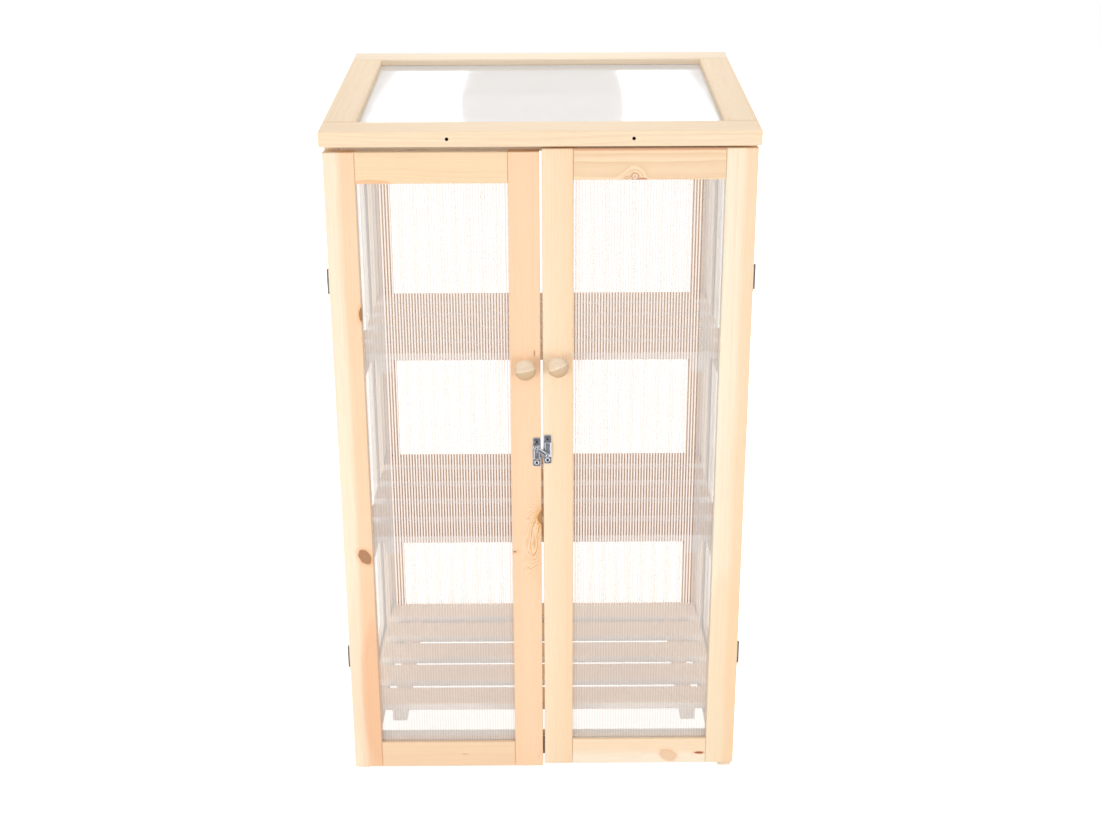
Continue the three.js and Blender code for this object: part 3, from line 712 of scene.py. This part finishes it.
def slab(bm, at, outline, low, high, soft, kind=0):
    """A plate between two depths, its upper edge rounded and given the second material, a brighter metal that
    paints a highlight along it.
    """
    rings = [(0.0, low), (0.0, high - soft)]
    for i in range(1, SOFT_STEPS + 1):
        angle = math.pi / 2 * i / SOFT_STEPS
        rings.append((soft * (1 - math.cos(angle)), high - soft + soft * math.sin(angle)))
    loops = []
    for inset, depth in rings:
        places = drawn_in(outline, inset)
        loops.append([bm.verts.new(at @ Vector((*place, depth))) for place in places])
    skin(bm, loops, [kind] + [1] * SOFT_STEPS)
    bm.faces.ensure_lookup_table()
    bm.faces[-1].material_index = kind


def turned(bm, at, profile, kinds=None):
    """A turned solid. The profile gives radius, depth and how far the ring is drawn into a cross."""
    loops = []
    for radius, depth, *cross in profile:
        ring = []
        for i in range(TURN_SEGMENTS):
            angle = 2 * math.pi * i / TURN_SEGMENTS
            reach = radius * (1 + (cross[0] if cross else 0) * math.cos(4 * angle))
            ring.append(bm.verts.new(at @ Vector((reach * math.cos(angle), reach * math.sin(angle), depth))))
        loops.append(ring)
    skin(bm, loops, kinds or [0] * (len(loops) - 1))


# Rings of a screw's head: share of its radius, share of its rise, and how far it is drawn into a cross
SCREW_SHARES = (
    (1.0, 0.0), (0.97, 0.5), (0.82, 0.86), (0.66, 1.0),
    (0.52, 0.98, 0.25), (0.46, 0.4, 0.3), (0.25, 0.25, 0.3),
)


def screw_head(bm, at, radius, low, rise, turn, ring=1):
    """A domed head with a cross recess: a ring with a painted highlight or as dull as the plate, round a
    middle of painted shade.
    """
    profile = [(radius * wide, low + rise * high, *cross) for wide, high, *cross in SCREW_SHARES]
    turned(bm, at @ Matrix.Rotation(turn, 4, "Z"), profile, [0, ring, ring, 0, 2, 2])


# Metals
BLOTCH_SCALE = 260
BLOTCH_STEP = (0.35, 0.7)
BLOTCH_ROUGHNESS = 0.18
GRIT_SCALE = 2600
GRIT_ROUGHNESS = 0.08
GRIT_BUMP = 0.3
GRIT_RELIEF = 0.05 * MM


def metal(name, tint, dark, roughness):
    material, t, shader = new_material(name)
    place = t.add("TexCoord", output="Object")
    blotch = t.noise(place, BLOTCH_SCALE, detail=4, roughness=0.6)
    grit = t.noise(place, GRIT_SCALE)
    t.set(shader["Base Color"], t.mix(t.step(blotch, *BLOTCH_STEP), colour(tint), colour(dark)))
    wear = (t.times(blotch, BLOTCH_ROUGHNESS), t.times(grit, GRIT_ROUGHNESS))
    t.set(shader["Roughness"], t.sum(roughness, *wear))
    shader["Metallic"].default_value = 1
    relief = {"Strength": GRIT_BUMP, "Distance": GRIT_RELIEF, "Height": grit}
    t.set(shader["Normal"], t.add("Bump", relief))
    return material


# The hook latch, whose depths are counted from the backs of its plates
PLATE_CORNER = 2.7 * MM
PLATE_DEPTH = 1.2 * MM
PLATE_SOFT = 0.6 * MM
BOSS_SIZE = (8.5 * MM, 22 * MM)
BOSS_CORNER = 1.2 * MM
BOSS_DEPTH = 2.8 * MM
BOSS_SOFT = 1.1 * MM
FLANGE_WIDTH = 2.2 * MM
FLANGE_DEPTH = 3.4 * MM
LATCH_SCREW_INSET = 5.8 * MM
LATCH_SCREW_RADIUS = 3.4 * MM
LATCH_SCREW_RISE = 0.9 * MM
NOSE_GAP = 0.85 * MM  # to the other plate
NOSE_DROP = 7.7 * MM
NOSE_ROOT = 8.6 * MM
NOSE_TIP = 1 * MM
DIMPLE_PLACE = (0.6 * MM, 0.6 * MM)  # a pressed point on the keeper's boss, bright with a painted highlight
DIMPLE_RADIUS = 1.5 * MM
DIMPLE_RISE = 0.5 * MM
STUD_RISE = 7 * MM  # above the middle of the keeper plate
STUD_RADIUS = 1.5 * MM
STUD_HEAD = 2.6 * MM
RIVET_RADIUS = 2.8 * MM
HOOK_BACK = 3.0 * MM
HOOK_FRONT = 4.6 * MM
HEAD_BACK = 4.8 * MM
STUD_FRONT = 5.6 * MM
RIVET_FRONT = 5.8 * MM
HOOK_ROOT = 3.4 * MM
HOOK_TIP = 2.9 * MM
HOOK_PAST = 2.4 * MM  # the tip's centre past the stud
SLOT_HALF = 1.9 * MM
SPINE_SHARE = 0.62  # of the hook's reach, a ridge along it in the brighter metal of a painted highlight
SPINE_WIDTH = 1.4 * MM
SEAT_GAP = 0.2 * MM
DOME_ANGLES = (0.0, 0.5, 0.9, 1.2, 1.45)  # of the rings of a pin's head
KEEPER_SCREW_TURNS = (0.3, 1.0)  # of the lower and the upper screw's cross
PIVOT_SCREW_TURNS = (0.7, 0.2)
HINGE_SCREW_TURN = 0.4
KNOB_SCREW_TURN = 0.5


def latch_plate(bm, at, width, length, screw_turns):
    slab(bm, at, rounded_rectangle(width, length, PLATE_CORNER), 0, PLATE_DEPTH, PLATE_SOFT)
    slab(bm, at, rounded_rectangle(*BOSS_SIZE, BOSS_CORNER), PLATE_DEPTH / 2, BOSS_DEPTH, BOSS_SOFT)
    for end, turn in zip((-1, 1), screw_turns):
        place = Vector((0, end * (length / 2 - LATCH_SCREW_INSET), 0))
        head = at @ Matrix.Translation(place)
        ring = int(end < 0)  # the lower screws' rings take the painted highlight, the upper screws are dull
        screw_head(bm, head, LATCH_SCREW_RADIUS, PLATE_DEPTH - SEAT_GAP, LATCH_SCREW_RISE, turn, ring)


def pin(bm, at, radius, head, low, back, front):
    """A shank with a domed head."""
    turned(bm, at, [(radius, low), (radius, back)])
    rise = front - back
    dome = [(head * math.cos(a), back + rise * math.sin(a)) for a in DOME_ANGLES]
    # The head's lower rings take the brighter metal of a painted highlight.
    turned(bm, at, dome, [1, 1, 0, 0])


def keeper_plate(metals, keeper, stud, width, length, nose_x):
    """The left-hand plate, with a nose towards the other plate, the stud, and a pressed point."""
    bm = bmesh.new()
    at = fitting_axes(keeper, X, Z)
    latch_plate(bm, at, width, length, KEEPER_SCREW_TURNS)
    nose = [(0, -NOSE_ROOT), (nose_x, -NOSE_DROP), (nose_x, NOSE_TIP - NOSE_DROP), (0, NOSE_ROOT)]
    slab(bm, at, nose, PLATE_DEPTH, BOSS_DEPTH - SEAT_GAP, PLATE_SOFT / 2)
    pin(bm, fitting_axes(stud, X, Z), STUD_RADIUS, STUD_HEAD, PLATE_DEPTH, HEAD_BACK, STUD_FRONT)
    dimple = fitting_axes(keeper + X * DIMPLE_PLACE[0] + Z * DIMPLE_PLACE[1], X, Z)
    pin(bm, dimple, DIMPLE_RADIUS, DIMPLE_RADIUS, PLATE_DEPTH, BOSS_DEPTH, BOSS_DEPTH + DIMPLE_RISE)
    add_piece("latch_keeper", bm, metals, "left_door", "zinc_steel", "latch_keeper_plate")


def pivot_plate(metals, holder, pivot, width, length):
    """The right-hand plate, with a flange all in the brighter metal of a painted highlight, and the rivet
    that the hook turns on.
    """
    bm = bmesh.new()
    at = fitting_axes(holder, X, Z)
    latch_plate(bm, at, width, length, PIVOT_SCREW_TURNS)
    flange = rounded_rectangle(FLANGE_WIDTH, BOSS_SIZE[1], FLANGE_WIDTH / 3, x=(width - FLANGE_WIDTH) / 2)
    slab(bm, at, flange, PLATE_DEPTH / 2, FLANGE_DEPTH, PLATE_SOFT, 1)
    pin(bm, fitting_axes(pivot, X, Z), STUD_RADIUS, RIVET_RADIUS, PLATE_DEPTH, HEAD_BACK, RIVET_FRONT)
    add_piece("latch_pivot", bm, metals, "right_door", "zinc_steel", "latch_pivot_plate")


def hook_lever(metals, pivot, stud):
    """The lever from the pivot past the stud, with a slot that drops over the stud."""
    bm = bmesh.new()
    arm = stud - pivot
    along = arm.normalized()
    at = fitting_axes(pivot, along, along.cross(Y))
    reach = arm.length
    tip = reach + HOOK_PAST
    slot = [(reach + SLOT_HALF, HOOK_TIP), *arc(reach, 0, SLOT_HALF, 0, -180), (reach - SLOT_HALF, HOOK_TIP)]
    outline = [*arc(0, 0, HOOK_ROOT, 90, 270, 10), *arc(tip, 0, HOOK_TIP, -90, 75, 10), *slot]
    slab(bm, at, outline, HOOK_BACK, HOOK_FRONT, PLATE_SOFT)
    spine = rounded_rectangle(SPINE_SHARE * reach, SPINE_WIDTH, SPINE_WIDTH / 3, x=reach / 2, y=-SPINE_WIDTH)
    slab(bm, at, spine, HOOK_BACK, HOOK_FRONT + SEAT_GAP, SEAT_GAP, 1)
    add_piece("latch_lever", bm, metals, "latch_hook", "zinc_steel", "latch_hook")


def latch():
    zinc = metal("zinc_steel", "77787d", "55565c", 0.3)
    # The second metal is brighter: a painted highlight for rounded edges, the flange, the ridge and the pin
    # heads.
    painted_highlight = metal("zinc_steel_painted_highlight", "cdd1d8", "adb2ba", 0.2)
    # The near-black third metal paints shade into the screws' cross recesses.
    metals = [zinc, painted_highlight, metal("screw_recess", "3c3c42", "2a2a2e", 0.5)]
    low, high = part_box("latch_pivot_plate")
    width, length = high.x - low.x, high.z - low.z
    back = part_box("left_door_meeting_stile")[0].y - SEAT_GAP
    keeper_low, keeper_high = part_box("latch_keeper_plate")
    keeper = Vector((keeper_low.x + width / 2, back, (keeper_low.z + keeper_high.z) / 2))
    holder = box_middle(low, high, back)
    pivot = Vector((joints["latch_hook_pivot"].x, back, joints["latch_hook_pivot"].z))
    stud = keeper + Z * STUD_RISE
    keeper_plate(metals, keeper, stud, width, length, low.x - NOSE_GAP - keeper.x)
    pivot_plate(metals, holder, pivot, width, length)
    hook_lever(metals, pivot, stud)


# Butt hinges. The pin lies on the fitting's Z axis and the leaf runs along its X axis.
BARREL_RADIUS = 2.6 * MM
PIN_RADIUS = 1.2 * MM
KNUCKLE_GAP = 0.4 * MM
NECK_REACH = BARREL_RADIUS + 3 * KNUCKLE_GAP
LEAF_WIDTH = 14 * MM
LEAF_DEPTH = 1.0 * MM
LEAF_CORNER = 1.5 * MM
HINGE_SCREW_INSET = 5 * MM
HINGE_SCREW_RADIUS = 2.3 * MM
HINGE_SCREW_RISE = 0.45 * MM
HINGE_SCREW_SHARE = 0.27
KNUCKLE_SOFT = 0.25 * MM


def knuckle(bm, at, start, end, across, pin_axis):
    """One knuckle of the barrel, and the neck that joins it to the leaf."""
    bent = BARREL_RADIUS - KNUCKLE_SOFT
    profile = [
        (bent, start), (BARREL_RADIUS, start + KNUCKLE_SOFT),
        (BARREL_RADIUS, end - KNUCKLE_SOFT), (bent, end),
    ]
    # The knuckle's rounded ends take the brighter metal of a painted highlight.
    turned(bm, at, profile, [1, 0, 1])
    neck = rounded_rectangle(NECK_REACH, end - start, KNUCKLE_SOFT)
    middle = at @ Vector((NECK_REACH / 2, -BARREL_RADIUS, (start + end) / 2))
    slab(bm, fitting_axes(middle, across, -pin_axis), neck, 0, LEAF_DEPTH, KNUCKLE_SOFT / 2)


def hinge_leaf(node, body, axis, across, up, metals):
    """One leaf with its knuckles. The fixed leaf carries the two outer knuckles and the pin's ends."""
    fixed = "fixed" in node
    low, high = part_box(node)
    pin_axis = across.cross(up)
    length = abs((high - low).dot(pin_axis))
    origin = axis + pin_axis * ((low + high) / 2 - axis).dot(pin_axis)
    at = fitting_axes(origin, across, up)
    third = length / 3
    if fixed:
        spans = ((-length / 2, -third / 2 - KNUCKLE_GAP / 2), (third / 2 + KNUCKLE_GAP / 2, length / 2))
    else:
        spans = ((-third / 2 + KNUCKLE_GAP / 2, third / 2 - KNUCKLE_GAP / 2),)
    bm = bmesh.new()
    for start, end in spans:
        knuckle(bm, at, start, end, across, pin_axis)
    if fixed:
        turned(bm, at, [(PIN_RADIUS, -length / 2), (PIN_RADIUS, length / 2)])
    plate_x = (BARREL_RADIUS + KNUCKLE_GAP + LEAF_WIDTH) / 2
    plate = fitting_axes(at @ Vector((plate_x, -BARREL_RADIUS, 0)), across, -pin_axis)
    plate_width = LEAF_WIDTH - BARREL_RADIUS - KNUCKLE_GAP
    slab(bm, plate, rounded_rectangle(plate_width, length, LEAF_CORNER), 0, LEAF_DEPTH, KNUCKLE_SOFT)
    for end in (-1, 1):
        place = Vector((LEAF_WIDTH - HINGE_SCREW_INSET - plate_x, end * HINGE_SCREW_SHARE * length, 0))
        head = plate @ Matrix.Translation(place)
        seat = LEAF_DEPTH - HINGE_SCREW_RISE / 2
        screw_head(bm, head, HINGE_SCREW_RADIUS, seat, HINGE_SCREW_RISE, HINGE_SCREW_TURN)
    add_piece(node + "_steel", bm, metals, body, "dark_steel", node)


def hinges():
    steel = metal("dark_steel", "6a6967", "4b4a4a", 0.35)
    # The second metal is brighter: a painted highlight for rounded edges and the knuckles' ends.
    painted_highlight = metal("dark_steel_painted_highlight", "8d8b88", "6f6d6b", 0.28)
    # The near-black third metal paints shade into the screws' cross recesses.
    metals = [steel, painted_highlight, metal("hinge_screw_recess", "2e2e30", "232325", 0.5)]
    for side, sign in (("left", -1), ("right", 1)):
        for level in ("lower", "upper"):
            name, axis = side + "_" + level + "_hinge_", joints[side + "_door_hinge"]
            hinge_leaf(name + "fixed_leaf", "carcass", axis, Y, X * sign, metals)
            hinge_leaf(name + "door_leaf", side + "_door", axis, -Y, X * sign, metals)
        name = "lid_" + side + "_hinge_"
        axis, up_slope = joints["lid_hinge"], lid_slope()
        hinge_leaf(name + "fixed_leaf", "carcass", axis, -Z, Y, metals)
        hinge_leaf(name + "lid_leaf", "lid", axis, X.cross(up_slope), up_slope, metals)


# Turned knobs and the screws that hold them
KNOB_FOOT_SHARE = 0.6
KNOB_NECK_SHARE = 0.5
KNOB_NECK_HEIGHT_SHARE = 0.2
KNOB_RIM_HEIGHT_SHARE = 0.56
KNOB_STEPS = 9
KNOB_LEANS = (("left", 11), ("right", 22))  # of the painted highlight line from level, in degrees
KNOB_PAINTED_SHADING = (  # share across the face, share of the tan colour of the painted shade
    (0.0, 0.1), (0.36, 0.34), (0.42, 0.36), (0.445, 0.0), (0.465, 0.0), (0.485, 0.55), (0.6, 0.8), (1.0, 1.0),
)


def knob(side, lean):
    """A turned knob. Its face is painted as if lit from above: a pale lit half, a tan half of painted shade,
    and a painted highlight line between them.
    """
    low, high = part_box(side + "_knob")
    radius, rise = (high.x - low.x) / 2, high.y - low.y
    foot = box_middle(low, high, high.y)
    neck, rim = KNOB_NECK_HEIGHT_SHARE * rise, KNOB_RIM_HEIGHT_SHARE * rise
    quarter = [math.pi / 2 * i / KNOB_STEPS for i in range(KNOB_STEPS + 1)]
    waist = 1 - KNOB_NECK_SHARE
    flare = [
        (radius * (KNOB_NECK_SHARE + waist * (1 - math.cos(a))), neck + (rim - neck) * math.sin(a))
        for a in quarter
    ]
    dome = [(radius * math.cos(a), rim + (rise - rim) * math.sin(a)) for a in quarter[1:-1]]
    foot_ring = [(KNOB_FOOT_SHARE * radius, 0), (KNOB_FOOT_SHARE * radius, neck / 3)]
    bm = bmesh.new()
    turned(bm, fitting_axes(foot, X, Z), foot_ring + flare + dome)
    angle = math.radians(lean)
    grain = X * math.cos(angle) + Z * math.sin(angle)
    wood = timber(
        "timber_" + side + "_knob", (low + high) / 2, [2 * radius, rise, 2 * radius],
        (grain.cross(-Y), -Y, grain),
        light=colour("fbe8cf"), dark=colour("cfae88"), line=colour("bd9468"),
        bands=KNOB_PAINTED_SHADING, rings=0.12, ring=1.6 * MM, sway=0.2, drift=0.04, fibres=0.08,
    )
    add_piece(side + "_knob_turned", bm, [wood], side + "_door", "knob_wood", side + "_knob")


def knob_screw(side, metals):
    """The head of the knob's screw, on the inner face of the door."""
    low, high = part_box(side + "_knob_screw")
    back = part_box(side + "_door_meeting_stile")[1].y + SEAT_GAP
    bm = bmesh.new()
    at = fitting_axes(box_middle(low, high, back), -X, Z)
    screw_head(bm, at, (high.x - low.x) / 2, 0, high.y - back, KNOB_SCREW_TURN)
    add_piece(side + "_knob_screw_head", bm, metals, side + "_door", "zinc_steel", side + "_knob_screw")


def knobs():
    steel = metal("knob_screw_steel", "b4b7ba", "8b8e92", 0.25)
    # The near-black third metal paints shade into the screw's cross recess.
    metals = [steel, steel, metal("knob_screw_recess", "3c3c42", "2a2a2e", 0.5)]
    for side, lean in KNOB_LEANS:
        knob(side, lean)
        knob_screw(side, metals)


# Studio: a white floor, a white room and soft boxes
FLOOR_REACH = 12
SKY_LIGHT = 0.74
FLOOR_GLOW = 0.75  # of the white background, seen by the camera and in mirrors
SOFT_BOXES = (  # name, shape, place, the point it is aimed at, size and power
    ("key", "SQUARE", (-1.7, -2.0, 0.5), (0, 0, 0.5), 0.7, 13),
    ("fill", "SQUARE", (1.7, -2.0, 0.5), (0, 0, 0.5), 0.7, 10),
    ("top", "DISK", (0, 0, 2.25), (0, 0, 1), 1.2, 3.4),
)
REAR_LAMP = Vector((0, 1.94, 2.17))
REAR_LAMP_AIM = Vector((0, 0, 1.15))
REAR_LAMP_RADIUS = 0.58
REAR_LAMP_POWER = 9
CARD_RADIUS = 0.245
CARD_SEGMENTS = 64
CARD_DROP = 0.29  # below the middle of the rear lamp, on its plane
CARD_GAP = 0.03
CARD_GLOW = 1.15


def add_floor():
    bm = bmesh.new()
    bmesh.ops.create_grid(bm, x_segments=2, y_segments=2, size=FLOOR_REACH)
    material, t, shader = new_material("floor")
    shader["Base Color"].default_value = colour("f4f3f2")
    shader["Roughness"].default_value = 0.9
    shader["Emission Color"].default_value = WHITE
    t.set(shader["Emission Strength"], t.times(t.ray("Camera", "Glossy"), FLOOR_GLOW))
    floor = new_object("floor", bm, material)


def add_room():
    world = bpy.data.worlds.new("room")
    bpy.context.scene.world = world
    world.use_nodes = True
    t = Tree(world.node_tree)
    shader = next(n for n in world.node_tree.nodes if n.type == "BACKGROUND")
    shader.inputs["Color"].default_value = WHITE
    shown = t.ray("Camera", "Transmission", "Glossy")
    t.set(shader.inputs["Strength"], t.sum(SKY_LIGHT, t.times(shown, 1 - SKY_LIGHT)))


def aimed(place, aim):
    direction = Vector(aim) - Vector(place)
    return Matrix.Translation(place) @ direction.to_track_quat("-Z", "Y").to_matrix().to_4x4()


def soft_box(name, shape, place, aim, size, power):
    data = bpy.data.lights.new(name, "AREA")
    data.shape = shape
    data.size = size
    data.energy = power
    lamp = bpy.data.objects.new(name, data)
    lamp.matrix_world = aimed(place, aim)
    lamp.visible_camera = False
    bpy.context.scene.collection.objects.link(lamp)
    return lamp


def mirrored_card():
    """A round grey card before the rear lamp, seen only as the grey middle of the lid's reflection."""
    bm = bmesh.new()
    bmesh.ops.create_circle(bm, cap_ends=True, segments=CARD_SEGMENTS, radius=CARD_RADIUS)
    material, _, shader = new_material("card")
    shader["Base Color"].default_value = colour("000000")
    shader["Emission Color"].default_value = colour("f2eeea")
    shader["Emission Strength"].default_value = CARD_GLOW
    card = new_object("card", bm, material)
    card.matrix_world = aimed(REAR_LAMP, REAR_LAMP_AIM) @ Matrix.Translation((0, -CARD_DROP, -CARD_GAP))
    for way in ("camera", "diffuse", "transmission", "shadow", "volume_scatter"):
        setattr(card, "visible_" + way, False)


def add_studio():
    add_floor()
    add_room()
    for name, shape, place, aim, size, power in SOFT_BOXES:
        soft_box(name, shape, place, aim, size, power)
    rear = soft_box("rear", "DISK", REAR_LAMP, REAR_LAMP_AIM, 2 * REAR_LAMP_RADIUS, REAR_LAMP_POWER)
    rear.visible_diffuse = False
    mirrored_card()


add_camera()
add_studio()
left_door_boards()
right_door_boards()
carcass_boards()
shelf_boards()
lid_boards()
sheets()
latch()
hinges()
knobs()
bpy.context.scene.view_settings.view_transform = "Standard"
